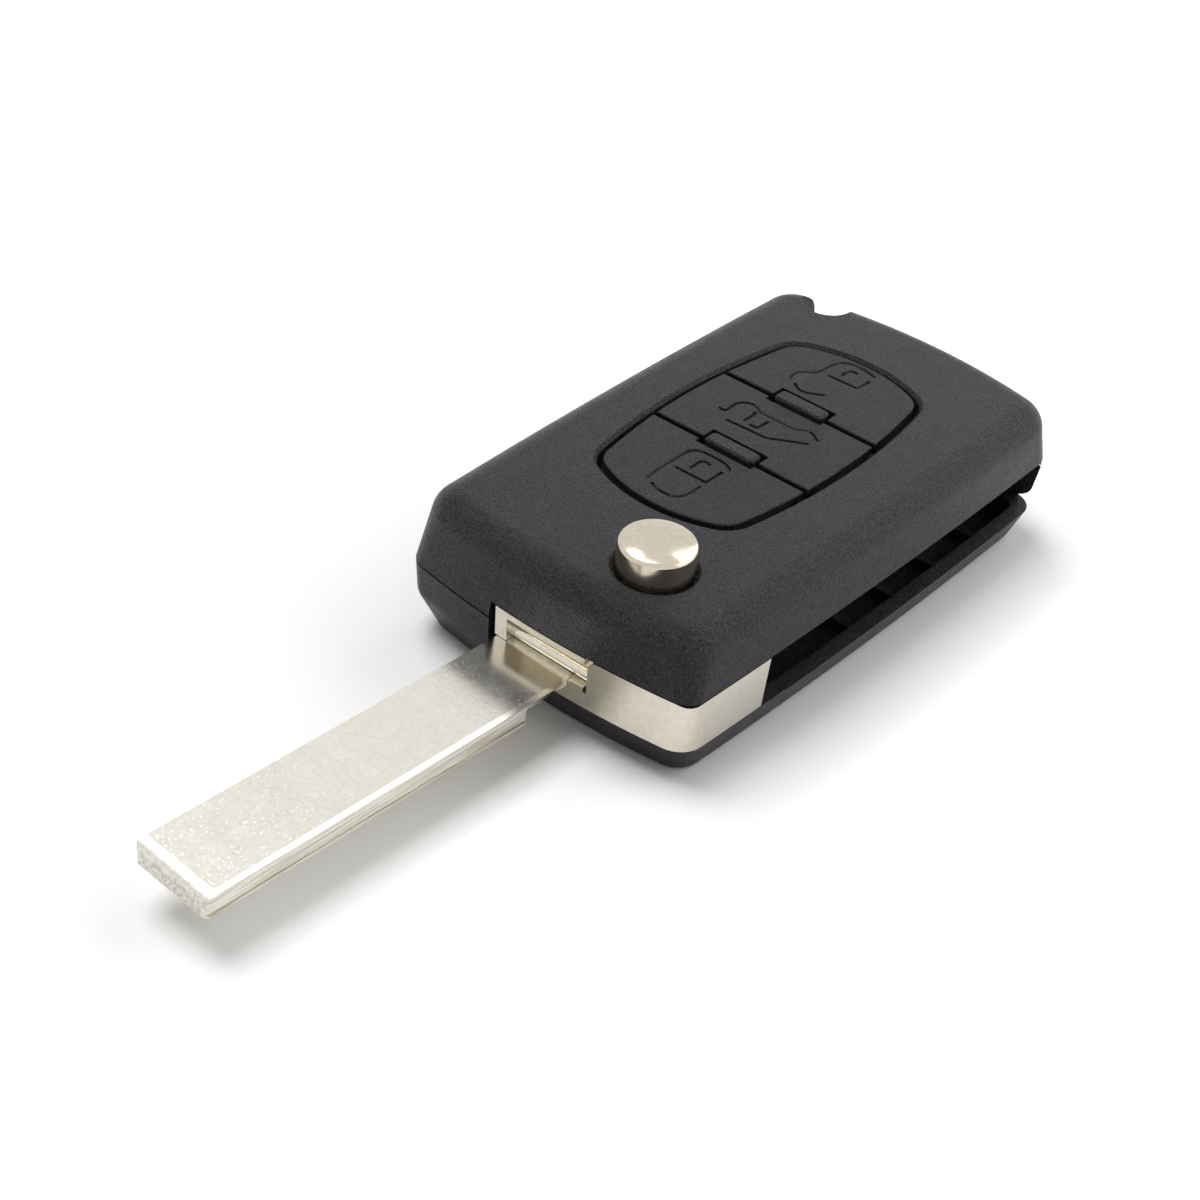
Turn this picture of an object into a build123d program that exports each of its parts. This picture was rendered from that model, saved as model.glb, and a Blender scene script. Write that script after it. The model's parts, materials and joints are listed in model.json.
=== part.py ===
from build123d import *
from math import cos, pi, radians, sin
import os

os.makedirs("parts", exist_ok=True)

# Case: outline and heights. The origin is the middle of the resting face, and the blade points to -Y.
body_length = 64.8
body_width = 36.4
body_height = 16.1
parting_height = body_height / 2  # where the two shells meet
waist_drop = 3.65  # from the parting down to where the lower shell slants inwards
front_bow = 1.5
back_bow = 2.6
front_narrowing = 1.1  # each side, against the widest place
middle_narrowing = 0.12
back_narrowing = 0.14
top_inset = 0.85  # each side, from the draft of the upper shell
top_back_inset = 1.5
waist_inset = 0.2
foot_side_inset = 1.5
foot_end_inset = 2.2
front_left_radius = 2.3
front_right_radius = 1.3
front_right_foot_radius = 2.8
back_radius = 2.8
crown_radius = 4.5
top_edge_radius = 3.0
waist_radius = 2.6
foot_edge_radius = 0.9
wall = 1.6
roof = 1.5
floor = 1.5
inner_crown_radius = 1.0
least_radius = 0.6
seam_height = 0.22  # shadow line where the shells meet
seam_depth = 0.3

# Joint between the shells
tongue_height = 1.0
tongue_wall = 0.8
tongue_gap = 0.1

# Pivot of the blade hub
pivot_inset_front = 8.45
pivot_inset_side = 11.75
hub_below = 4.2  # from the parting height down to the hub's foot
hub_above = 1.55
hub_left = 11.35  # reach of the hub to the left of the pivot
hub_right_back = 4.3  # back edge of the hub's right arm
hub_left_back = 6.5
hub_back_radius = 2.0
barrel_radius = 8.2
journal_radius = 6.6
journal_height = 1.1
bearing_gap = 0.08
bearing_wall = 0.8
bore_radius = 4.85
keyway_radius = 5.55
keyway_width = 1.7
keyway_count = 4
hub_gap_below = 0.15
hub_gap_above = 0.12
hub_gap_left = 0.65
sweep_radius = 13.3
sweep_wall = 1.0
window_reach_back = 9.15  # from the pivot to the window's end in the side

# Pocket and slit in the hub's front face
pocket_left = 9.9  # both ends lie to the left of the pivot
pocket_right = 0.65
pocket_depth = 1.8
pocket_roof = 0.7
pocket_bar_radius = 0.72
slit_width = 0.37
slit_foot = 2.4  # from the parting height down to the slit's end
slit_corner_radius = 1.0
slit_notch_length = 0.55
slit_notch_height = 0.35
slit_notch_depth = 0.4

# Blade, on a plane of its own that leans and tips up a little
blade_drop = 1.9  # from the parting height to the blade's top at the pin
pin_left = 8.7
pin_front = 3.5
blade_lean = 2.1
blade_pitch = 1.0
blade_width = 9.0
blade_left = 2.5  # reach to the left of the pin
blade_length = 45.8  # from the pin to the tip
blade_thickness = 2.45
blade_step = 9.6  # where the thick part begins
blade_plate = 0.7
blade_bevel = 0.35
tip_radius = 0.6
tip_bevel_length = 0.3
tip_bevel_drop = 0.12
tip_roll = 0.85  # reach of the rounded end below the bevel
side_groove_top = 1.9
side_groove_height = 0.3
side_groove_depth = 0.22
tang_thickness = 1.5
tang_neck_end = 3.4
ear_left = 1.4
ear_right = 2.1
ear_end = 1.6
root_inset = 1.6
tang_gap = 0.05
pin_radius = 0.75
pin_gap = 0.02
pin_below = 0.4  # reach of the pin past the tang on each side
pin_above = 2.0

# Slot for the folded blade
slot_gap_left = 0.3
slot_below = 4.6  # from the parting height down to the slot's lip
slot_end_wall = 2.6
slot_overlap = 1.0
rib_drop = 1.0  # from the lip to the ribs across the slot's floor
partition = 1.2
rail_start = 4.0
rib_width = 1.0
rib_spacing = 7.5
rib_count = 5

# Release button, collar and spring
button_radius = 3.69
button_rise = 2.78
button_dome = 0.5
button_edge = 0.5
button_hole_gap = 0.31
button_travel = 2.4
button_flange_radius = 4.6
button_flange = 1.2
flange_gap = 0.2
stem_radius = 2.6
stem_gap = 0.05
shoulder_radius = 3.6
collar_rise = 1.8  # from the hub's top to the collar's
collar_height = 3.2
collar_gap = 0.15
spring_radius = 3.9
spring_wire = 0.8
spring_turns = 4.5
spring_steps_per_turn = 14
spring_end = 0.02

# Keypad
pad_x = -0.57
pad_y = 1.95
pad_half_width = 9.77
pad_corner_x = 8.2
pad_corner_y = 16.0
pad_half_length = 18.45
pad_corner_radius = 3.3
groove = 0.6
divider_front = -3.76
divider_back = 7.87
key_travel = 0.4
key_flange = 0.7
key_flange_height = 0.7
key_play = 0.05
key_plate = 0.8
key_edge_radius = 0.2
rim_chamfer = 0.35
button_rim_chamfer = 0.2
web_half_width = 0.8
web_drop = 0.6  # from the roof's underside down to the webs' foot
web_height = 0.8
web_reach = 1.2
web_gap = 0.25
bar_length = 5.9
bar_width = 1.8
bar_offset = 0.6  # the raised bars sit a little behind the dividers
bar_rise = 0.25
bar_corner = 0.5
bar_edge = 0.2
bar_gap_front = 0.75
bar_gap_back = 0.5
bar_gap_side = 0.45

# Electronics
board_drop = 1.8  # from the roof's underside
board_thickness = 0.8
board_side_room = 1.8
board_front_room = 9.35  # from the pivot
board_back_room = 6.8
board_chamfer = 7.2
board_corner_radius = 0.8
board_gap = 0.3
mat_thickness = 0.45
switch_length = 3.6
switch_width = 3.0
switch_height = 0.9
switch_room = 0.4
switch_corner = 0.3
plunger_radius = 0.85
plunger_length = 0.8
plunger_gap = 0.05
plunger_rise = 1.4  # from the board to the plunger's top
post_radius = 1.2
post_inset = 1.6
front_post_inset = 2.0
back_post_inset = 3.0
battery_radius = 8.0
battery_lid_radius = 6.6
battery_thickness = 2.0
battery_y = 7.0
battery_drop = 0.5  # from the board to the cell
battery_step = 0.3
clip_metal = 0.3
clip_width = 4.0
clip_foot = 0.6
clip_clearance = 0.2
contact_plate_length = 7.0
contact_plate_corner = 0.6
contact_radius = 1.5
contact_taper = 30
chip_size = 5.0
chip_height = 1.0
chip_edge = 0.15
chip_right_room = 2.8  # from the chip's edge to the board's
chip_front_room = 5.2
crystal_length = 7.0
crystal_width = 3.4
crystal_height = 2.2
crystal_edge = 0.3
crystal_room = 2.1  # from the can's side to the board's left edge
crystal_front_room = 4.3
coil_flange_radius = 2.8
coil_winding_radius = 2.3
coil_core_radius = 1.3
coil_flange = 0.8
coil_corner_room = 1.7  # from the board's slanted corner
coil_post_room = 0.82
transponder_length = 12.0
transponder_height = 3.0
transponder_edge = 0.8
transponder_wall_room = 2.2
transponder_ring_room = 0.55
transponder_place = 3.45  # behind the pivot
nest_wall = 1.0
nest_height = 2.0
nest_gap = 0.1

# Key-ring corner and case screw
ring_post_inset_side = 4.0
ring_post_inset_back = 5.2
ring_tunnel_radius = 3.4
ring_tube_radius = 1.5
ring_tube_bevel = 0.85
ring_block_radius = 6.6
scoop_from_post_x = 2.9
scoop_from_post_y = 1.1
scoop_radius = 2.3
scoop_flare_height = 0.9
scoop_flare_angle = 35
screw_x = -2.6
screw_boss_radius = 2.6
screw_radius = 0.8
screw_tip_drop = 2.6  # from the roof's underside to the screw's end
screw_bore_room = 1.5
screw_head_radius = 1.9
screw_head_height = 1.1
screw_head_edge = 0.4
screw_gap = 0.05
screw_head_recess = 0.25
driver_length = 2.2
driver_width = 0.5
driver_depth = 0.7

# Places that follow from the sizes above
pivot_x = body_width / 2 - pivot_inset_side
pivot_y = -body_length / 2 + pivot_inset_front
waist_height = parting_height - waist_drop
roof_underside = body_height - roof
hub_bottom = parting_height - hub_below
hub_top = parting_height + hub_above
hub_height = hub_top - hub_bottom
platform_top = hub_bottom - hub_gap_below
window_top = hub_top + hub_gap_above
window_left = pivot_x - hub_left - hub_gap_left
blade_top_height = parting_height - blade_drop
collar_top = hub_top + collar_rise
collar_bottom = collar_top - collar_height
lean = radians(blade_lean)
# The blade folds until it lies along Y: the pin's place after that turn gives the slot its edges
folded_pin_x = pivot_x + pin_left * cos(lean) - pin_front * sin(lean)
folded_blade_inner = folded_pin_x - (blade_width - blade_left)
slot_left = folded_blade_inner - slot_gap_left
slot_floor = parting_height - slot_below
slot_ceiling = window_top
slot_end = body_length / 2 - slot_end_wall
window_back = pivot_y + window_reach_back
board_top = roof_underside - board_drop
board_bottom = board_top - board_thickness
board_left = wall + board_side_room - body_width / 2
board_right = slot_left - partition - board_gap
board_front = pivot_y + board_front_room
board_back = body_length / 2 - wall - board_back_room
plunger_top = board_top + plunger_rise
web_bottom = roof_underside - web_drop
web_top = web_bottom + web_height
flange_bottom = roof_underside - key_play - key_flange_height
plate_bottom = body_height - key_plate
battery_x = (board_left + board_right) / 2
battery_top = board_bottom - battery_drop
battery_bottom = battery_top - battery_thickness
button_top = body_height + button_rise
button_flange_top = roof_underside - flange_gap
button_flange_bottom = button_flange_top - button_flange
bearing_radius = journal_radius + bearing_gap
chip_x = board_right - chip_right_room - chip_size / 2
chip_y = board_front + chip_front_room + chip_size / 2
crystal_x = board_left + crystal_room + crystal_length / 2
crystal_y = board_front + crystal_front_room + crystal_width / 2
coil_left = board_left + board_chamfer + coil_corner_room
coil_right = board_right - post_inset - post_radius - coil_post_room
coil_length = coil_right - coil_left
coil_y = board_back - coil_flange_radius
transponder_left = wall + transponder_wall_room - body_width / 2
transponder_right = pivot_x - sweep_radius - sweep_wall - transponder_ring_room
transponder_width = transponder_right - transponder_left
transponder_x = (transponder_left + transponder_right) / 2
transponder_y = pivot_y + transponder_place
ring_post_x = ring_post_inset_side - body_width / 2
ring_post_y = body_length / 2 - ring_post_inset_back
scoop_x = ring_post_x + scoop_from_post_x
scoop_y = ring_post_y + scoop_from_post_y
screw_y = ring_post_y
screw_length = roof_underside - screw_tip_drop
key_rows = (
    ("unlock", None, divider_front),
    ("boot", divider_front, divider_back),
    ("lock", divider_back, None),
)
front_end = pad_y - pad_half_length
back_end = pad_y + pad_half_length
blade_plane = Plane(
    Location((pivot_x - pin_left, pivot_y - pin_front, blade_top_height), (0, 0, -blade_lean))
    * Location((0, 0, 0), (-blade_pitch, 0, 0))
)


def inset_at(height, foot_inset, crown_inset=top_inset):
    """How far the case wall stands in from the widest outline at this height."""
    if height >= parting_height:
        return crown_inset * (height - parting_height) / (body_height - parting_height)
    if height >= waist_height:
        return waist_inset * (parting_height - height) / (parting_height - waist_height)
    return waist_inset + (foot_inset - waist_inset) * (waist_height - height) / waist_height


def case_outline(height, depth, left, right, back):
    """Outline of the case at a height, moved inwards by depth, with its corner radii."""
    side = body_width / 2 - inset_at(height, foot_side_inset) - depth
    front_y = body_length / 2 - inset_at(height, foot_end_inset) - depth
    back_tip = body_length / 2 - inset_at(height, foot_end_inset, top_back_inset) - depth
    back_y = back_tip - back_bow
    with BuildSketch(Plane.XY.offset(height)) as section:
        with BuildLine():
            x_front = side - front_narrowing
            x_back = side - back_narrowing
            y_front = front_bow - front_y
            ThreePointArc((-x_front, y_front), (0, -front_y), (x_front, y_front))
            ThreePointArc((x_front, y_front), (side - middle_narrowing, 0), (x_back, back_y))
            ThreePointArc((x_back, back_y), (0, back_tip), (-x_back, back_y))
            ThreePointArc((-x_back, back_y), (middle_narrowing - side, 0), (-x_front, y_front))
        make_face()
        corner = section.vertices().filter_by(lambda v: v.X < 0 and v.Y < 0)
        fillet(corner, radius=max(left - depth, least_radius))
        corner = section.vertices().filter_by(lambda v: v.X > side / 2 and v.Y < 0)
        fillet(corner, radius=max(right - depth, least_radius))
        corners = section.vertices().filter_by(lambda v: v.Y > 0)
        fillet(corners, radius=max(back - depth, least_radius))
    return section.sketch


def lower_outline(height, depth=0.0):
    return case_outline(height, depth, front_left_radius, front_right_foot_radius, back_radius)


def crown_outline(height, depth=0.0):
    """Upper shell: the corners grow rounder towards the top."""
    share = (height - parting_height) / (body_height - parting_height)
    left = front_left_radius + (crown_radius - front_left_radius) * share
    right = front_right_radius + (crown_radius - front_right_radius) * share
    back = back_radius + (crown_radius - back_radius) * share
    return case_outline(height, depth, left, right, back)


def block(x_low, x_high, y_low, y_high, z_low):
    """Flat rectangle between two corners, at a height."""
    with BuildSketch(Plane(((x_low + x_high) / 2, (y_low + y_high) / 2, z_low))) as sketch:
        Rectangle(x_high - x_low, y_high - y_low)
    return sketch.sketch


def disc(x, y, height, radius, hole=0.0):
    with BuildSketch(Plane((x, y, height))) as sketch:
        Circle(radius)
        if hole:
            Circle(hole, mode=Mode.SUBTRACT)
    return sketch.sketch


def pad_outline(height, growth, low=None, high=None):
    """Outline of the keypad, grown by an amount and kept between two places along Y."""
    with BuildSketch(Plane((pad_x, pad_y, height))) as sketch:
        with BuildLine():
            x, y = pad_corner_x, pad_corner_y
            ThreePointArc((-x, -y), (0, -pad_half_length), (x, -y))
            ThreePointArc((x, -y), (pad_half_width, 0), (x, y))
            ThreePointArc((x, y), (0, pad_half_length), (-x, y))
            ThreePointArc((-x, y), (-pad_half_width, 0), (-x, -y))
        make_face()
        fillet(sketch.vertices(), radius=pad_corner_radius)
        if growth:
            offset(amount=growth)
        reach = pad_half_length + growth + 1
        bottom = -reach if low is None else low - pad_y
        top = reach if high is None else high - pad_y
        with Locations((0, (bottom + top) / 2)):
            Rectangle(4 * pad_half_width, top - bottom, mode=Mode.INTERSECT)
    return sketch.sketch


def key_middle(low, high):
    """Middle of a key along Y, between its dividers or the keypad's end."""
    return ((front_end if low is None else low) + (back_end if high is None else high)) / 2


# Upper shell. Its inside is built first: ribs, rings and posts are left standing in it.
with BuildPart() as top_inside:
    loft(sections=[crown_outline(parting_height, wall), crown_outline(roof_underside, wall)], ruled=True)
    fillet(top_inside.edges().group_by(Axis.Z)[-1], radius=inner_crown_radius)
    extrude(
        disc(pivot_x, pivot_y, window_top, bearing_radius + bearing_wall, bearing_radius),
        amount=roof_underside - window_top,
        mode=Mode.SUBTRACT,
    )
    # Rail and cross ribs over the slot; the ribs step down where the keypad reaches over them
    rail = block(slot_left - partition, slot_left, window_back + rail_start, slot_end, slot_ceiling)
    extrude(rail, amount=board_top - slot_ceiling, mode=Mode.SUBTRACT)
    for number in range(rib_count):
        rib_y = slot_end - rib_width - rib_spacing * number
        low_rib = block(slot_left - partition, body_width / 2, rib_y - rib_width, rib_y, slot_ceiling)
        extrude(low_rib, amount=board_top - clip_metal - slot_ceiling, mode=Mode.SUBTRACT)
        rib_start = pad_x + pad_half_width + groove / 2 + key_flange + web_gap
        tall_rib = block(rib_start, body_width / 2, rib_y - rib_width, rib_y, slot_ceiling)
        extrude(tall_rib, amount=roof_underside - slot_ceiling, mode=Mode.SUBTRACT)
    # Posts that hold the board down, the screw's boss and the block round the key ring
    for post_y in (board_front + front_post_inset, board_back - board_chamfer - back_post_inset):
        post = disc(board_left + post_inset, post_y, board_top, post_radius)
        extrude(post, amount=roof_underside - board_top, mode=Mode.SUBTRACT)
    boss = disc(screw_x, screw_y, parting_height, screw_boss_radius)
    extrude(boss, amount=roof_underside - parting_height, mode=Mode.SUBTRACT)
    ring_block = disc(ring_post_x, ring_post_y, parting_height, ring_block_radius)
    extrude(ring_block, amount=roof_underside - parting_height, mode=Mode.SUBTRACT)

# The tongue's band round the parting line, open where the hub and the slot break the wall
with BuildPart() as tongue_band:
    extrude(lower_outline(parting_height, wall - tongue_wall), amount=tongue_height)
    extrude(lower_outline(parting_height, wall), amount=tongue_height, mode=Mode.SUBTRACT)
    gap = block(window_left - wall, body_width, -body_length, slot_end + wall, parting_height)
    extrude(gap, amount=tongue_height, mode=Mode.SUBTRACT)
    corner = disc(ring_post_x, ring_post_y, parting_height, ring_block_radius)
    extrude(corner, amount=tongue_height, mode=Mode.SUBTRACT)

with BuildPart() as tongue_rebate:
    deeper = wall - tongue_wall - tongue_gap
    extrude(lower_outline(parting_height, deeper), amount=tongue_height + tongue_gap)
    extrude(lower_outline(parting_height, wall + 2 * tongue_gap), amount=tongue_height + tongue_gap,
            mode=Mode.SUBTRACT)
    gap = block(window_left - wall + tongue_gap, body_width, -body_length, slot_end + wall - tongue_gap,
                parting_height)
    extrude(gap, amount=tongue_height + tongue_gap, mode=Mode.SUBTRACT)
    corner = disc(ring_post_x, ring_post_y, parting_height, ring_block_radius - tongue_gap)
    extrude(corner, amount=tongue_height + tongue_gap, mode=Mode.SUBTRACT)

# Key-ring corner: a tube bent round the corner post, and a scoop in the back edge
with BuildPart() as ring_opening:
    tunnel_plane = Plane((ring_post_x, ring_post_y, parting_height), x_dir=(1, 0, 0), z_dir=(0, -1, 0))
    with BuildSketch(tunnel_plane) as tunnel_section:
        with Locations((ring_tunnel_radius, 0)):
            Rectangle(2 * ring_tube_radius, 2 * ring_tube_radius)
        chamfer(tunnel_section.vertices(), length=ring_tube_bevel)
    revolve(axis=Axis((ring_post_x, ring_post_y, 0), (0, 0, 1)), revolution_arc=360)
    for scoop_base, scoop_angle in ((0, 0), (body_height - scoop_flare_height, -scoop_flare_angle)):
        with BuildSketch(Plane((scoop_x, scoop_y, scoop_base))) as scoop:
            Circle(scoop_radius)
            with Locations((0, 2 * scoop_radius)):
                Rectangle(2 * scoop_radius, 4 * scoop_radius)
        extrude(scoop.sketch, amount=body_height - scoop_base, taper=scoop_angle)

# What the hub and the folded blade take out of both shells
with BuildPart() as side_opening:
    window = block(window_left, body_width, -body_length, window_back, platform_top)
    extrude(window, amount=window_top - platform_top)
    slot = block(slot_left, body_width, window_back - slot_overlap, slot_end, slot_floor)
    extrude(slot, amount=slot_ceiling - slot_floor)

with BuildPart() as top_shell:
    loft(sections=[crown_outline(parting_height), crown_outline(body_height)], ruled=True)
    fillet(top_shell.edges().group_by(Axis.Z)[-1], radius=top_edge_radius)
    add(top_inside.part, mode=Mode.SUBTRACT)
    add(tongue_rebate.part, mode=Mode.SUBTRACT)
    add(side_opening.part, mode=Mode.SUBTRACT)
    add(ring_opening.part, mode=Mode.SUBTRACT)
    extrude(disc(pivot_x, pivot_y, window_top, bearing_radius), amount=journal_height, mode=Mode.SUBTRACT)
    extrude(disc(pivot_x, pivot_y, parting_height, button_radius + button_hole_gap), amount=body_height,
            mode=Mode.SUBTRACT)
    extrude(pad_outline(roof_underside, groove / 2), amount=roof, mode=Mode.SUBTRACT)
    top_edges = top_shell.edges().filter_by(lambda e: abs(e.center().Z - body_height) < 0.01)
    pad_rim = top_edges.filter_by(
        lambda e: abs(e.center().X - pad_x) < pad_half_width + 1 and abs(e.center().Y - pad_y) < back_end
    )
    chamfer(pad_rim, length=rim_chamfer)
    hole_rim = top_edges.filter_by(
        lambda e: abs(e.center().X - pivot_x) < bore_radius and abs(e.center().Y - pivot_y) < bore_radius
    )
    chamfer(hole_rim, length=button_rim_chamfer)
    # Webs under the dividers carry the raised bars between the keys
    for divider in (divider_front, divider_back):
        web = pad_outline(web_bottom, groove / 2 + web_reach, divider - web_half_width,
                          divider + web_half_width)
        extrude(web, amount=web_top - web_bottom)
        bar_y = divider + bar_offset
        bar_plane = Plane((pad_x, bar_y, web_bottom))
        with BuildSketch(bar_plane) as bar_face:
            RectangleRounded(bar_length, bar_width, bar_corner)
        extrude(bar_face.sketch, amount=body_height + bar_rise - web_bottom)
    bar_rim = top_shell.edges().filter_by(lambda e: e.center().Z > body_height + bar_rise - 0.01)
    chamfer(bar_rim, length=bar_edge)
    with Locations((screw_x, screw_y, parting_height)):
        Cylinder(screw_radius + screw_gap, screw_length - parting_height + screw_bore_room,
                 align=(Align.CENTER, Align.CENTER, Align.MIN), mode=Mode.SUBTRACT)
top_shell.part.label = "top_shell"
export_step(top_shell.part, "parts/top_shell.step")

# Lower shell, built the same way round its inside
with BuildPart() as bottom_inside:
    loft(sections=[lower_outline(floor, wall), lower_outline(waist_height, wall)], ruled=True)
    loft(sections=[lower_outline(waist_height, wall), lower_outline(parting_height, wall)], ruled=True)
    # Bearing boss under the hub, and the round wall that keeps its sweep clear
    boss_height = platform_top - floor
    extrude(disc(pivot_x, pivot_y, floor, bearing_radius + bearing_wall), amount=boss_height,
            mode=Mode.SUBTRACT)
    with BuildSketch(Plane((pivot_x, pivot_y, floor))) as sweep_ring:
        Circle(sweep_radius + sweep_wall)
        Circle(sweep_radius, mode=Mode.SUBTRACT)
        with Locations((slot_left - pivot_x + body_width / 2, 0)):
            Rectangle(body_width, body_length, mode=Mode.SUBTRACT)
    extrude(sweep_ring.sketch, amount=parting_height - floor, mode=Mode.SUBTRACT)
    # Partition beside the slot, with ribs across the slot's floor
    partition_start = pivot_y + sweep_radius
    side_wall = block(slot_left - partition, slot_left, partition_start, body_length / 2, floor)
    extrude(side_wall, amount=parting_height - floor, mode=Mode.SUBTRACT)
    for number in range(rib_count):
        rib_y = slot_end - rib_width - rib_spacing * number
        floor_rib = block(slot_left - partition, body_width / 2, rib_y - rib_width, rib_y, floor)
        extrude(floor_rib, amount=slot_floor - rib_drop - floor, mode=Mode.SUBTRACT)
    boss = disc(screw_x, screw_y, floor, screw_boss_radius)
    extrude(boss, amount=parting_height - floor, mode=Mode.SUBTRACT)
    ring_block = disc(ring_post_x, ring_post_y, floor, ring_block_radius)
    extrude(ring_block, amount=parting_height - floor, mode=Mode.SUBTRACT)

with BuildPart() as seam:
    seam_height_low = parting_height - seam_height
    extrude(lower_outline(seam_height_low, -seam_depth), amount=seam_height)
    extrude(lower_outline(seam_height_low, seam_depth), amount=seam_height, mode=Mode.SUBTRACT)

with BuildPart() as bottom_shell:
    loft(sections=[lower_outline(parting_height), lower_outline(waist_height)], ruled=True)
    loft(sections=[lower_outline(waist_height), lower_outline(0)], ruled=True)
    waist = bottom_shell.edges().filter_by(lambda e: abs(e.center().Z - waist_height) < 0.01)
    fillet(waist, radius=waist_radius)
    fillet(bottom_shell.edges().group_by(Axis.Z)[0], radius=foot_edge_radius)
    add(seam.part, mode=Mode.SUBTRACT)
    add(bottom_inside.part, mode=Mode.SUBTRACT)
    add(tongue_band.part)
    add(side_opening.part, mode=Mode.SUBTRACT)
    add(ring_opening.part, mode=Mode.SUBTRACT)
    # Bearing recess and spring well
    journal_bottom = hub_bottom - journal_height
    extrude(disc(pivot_x, pivot_y, journal_bottom - tongue_gap, bearing_radius), amount=parting_height,
            mode=Mode.SUBTRACT)
    extrude(disc(pivot_x, pivot_y, floor, bore_radius), amount=parting_height, mode=Mode.SUBTRACT)
    # Board rests: posts, the raised stretch of the round wall and the partition's upper edge
    rest_height = board_bottom - floor
    left_post_x = board_left + post_inset
    for post_x, post_y in (
        (left_post_x, board_front + front_post_inset),
        (left_post_x, board_back - board_chamfer - back_post_inset),
        (board_right - post_inset, board_back - post_inset),
    ):
        extrude(disc(post_x, post_y, floor, post_radius), amount=rest_height)
    with BuildSketch(Plane((pivot_x, pivot_y, parting_height))) as rest_arc:
        Circle(sweep_radius + sweep_wall)
        Circle(sweep_radius, mode=Mode.SUBTRACT)
        with Locations((-sweep_radius / 2 - 0.4, sweep_radius)):
            Rectangle(sweep_radius, sweep_radius, mode=Mode.INTERSECT)
    extrude(rest_arc.sketch, amount=board_bottom - parting_height)
    side_wall_top = block(slot_left - partition, slot_left, partition_start, slot_end - wall, parting_height)
    extrude(side_wall_top, amount=slot_ceiling - hub_gap_above - parting_height)
    # Crossed ribs under the battery
    rib_rise = battery_bottom - clip_metal - tongue_gap - floor
    for length, width in ((battery_radius * 1.5, rib_width), (rib_width, battery_radius * 1.5)):
        with BuildSketch(Plane((battery_x, battery_y, floor))) as rib_face:
            Rectangle(length, width)
        extrude(rib_face.sketch, amount=rib_rise)
    # Nest of the transponder
    with BuildSketch(Plane((transponder_x, transponder_y, floor))) as nest:
        Rectangle(transponder_width / 2, transponder_length + 2 * (nest_gap + nest_wall))
        Rectangle(transponder_width, transponder_length + 2 * nest_gap, mode=Mode.SUBTRACT)
    extrude(nest.sketch, amount=nest_height)
    # Screw hole, sunk for the head
    extrude(disc(screw_x, screw_y, 0, screw_radius + 3 * screw_gap), amount=parting_height,
            mode=Mode.SUBTRACT)
    extrude(disc(screw_x, screw_y, 0, screw_head_radius + 3 * screw_gap),
            amount=screw_head_recess + screw_head_height, mode=Mode.SUBTRACT)
bottom_shell.part.label = "bottom_shell"
export_step(bottom_shell.part, "parts/bottom_shell.step")

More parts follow.
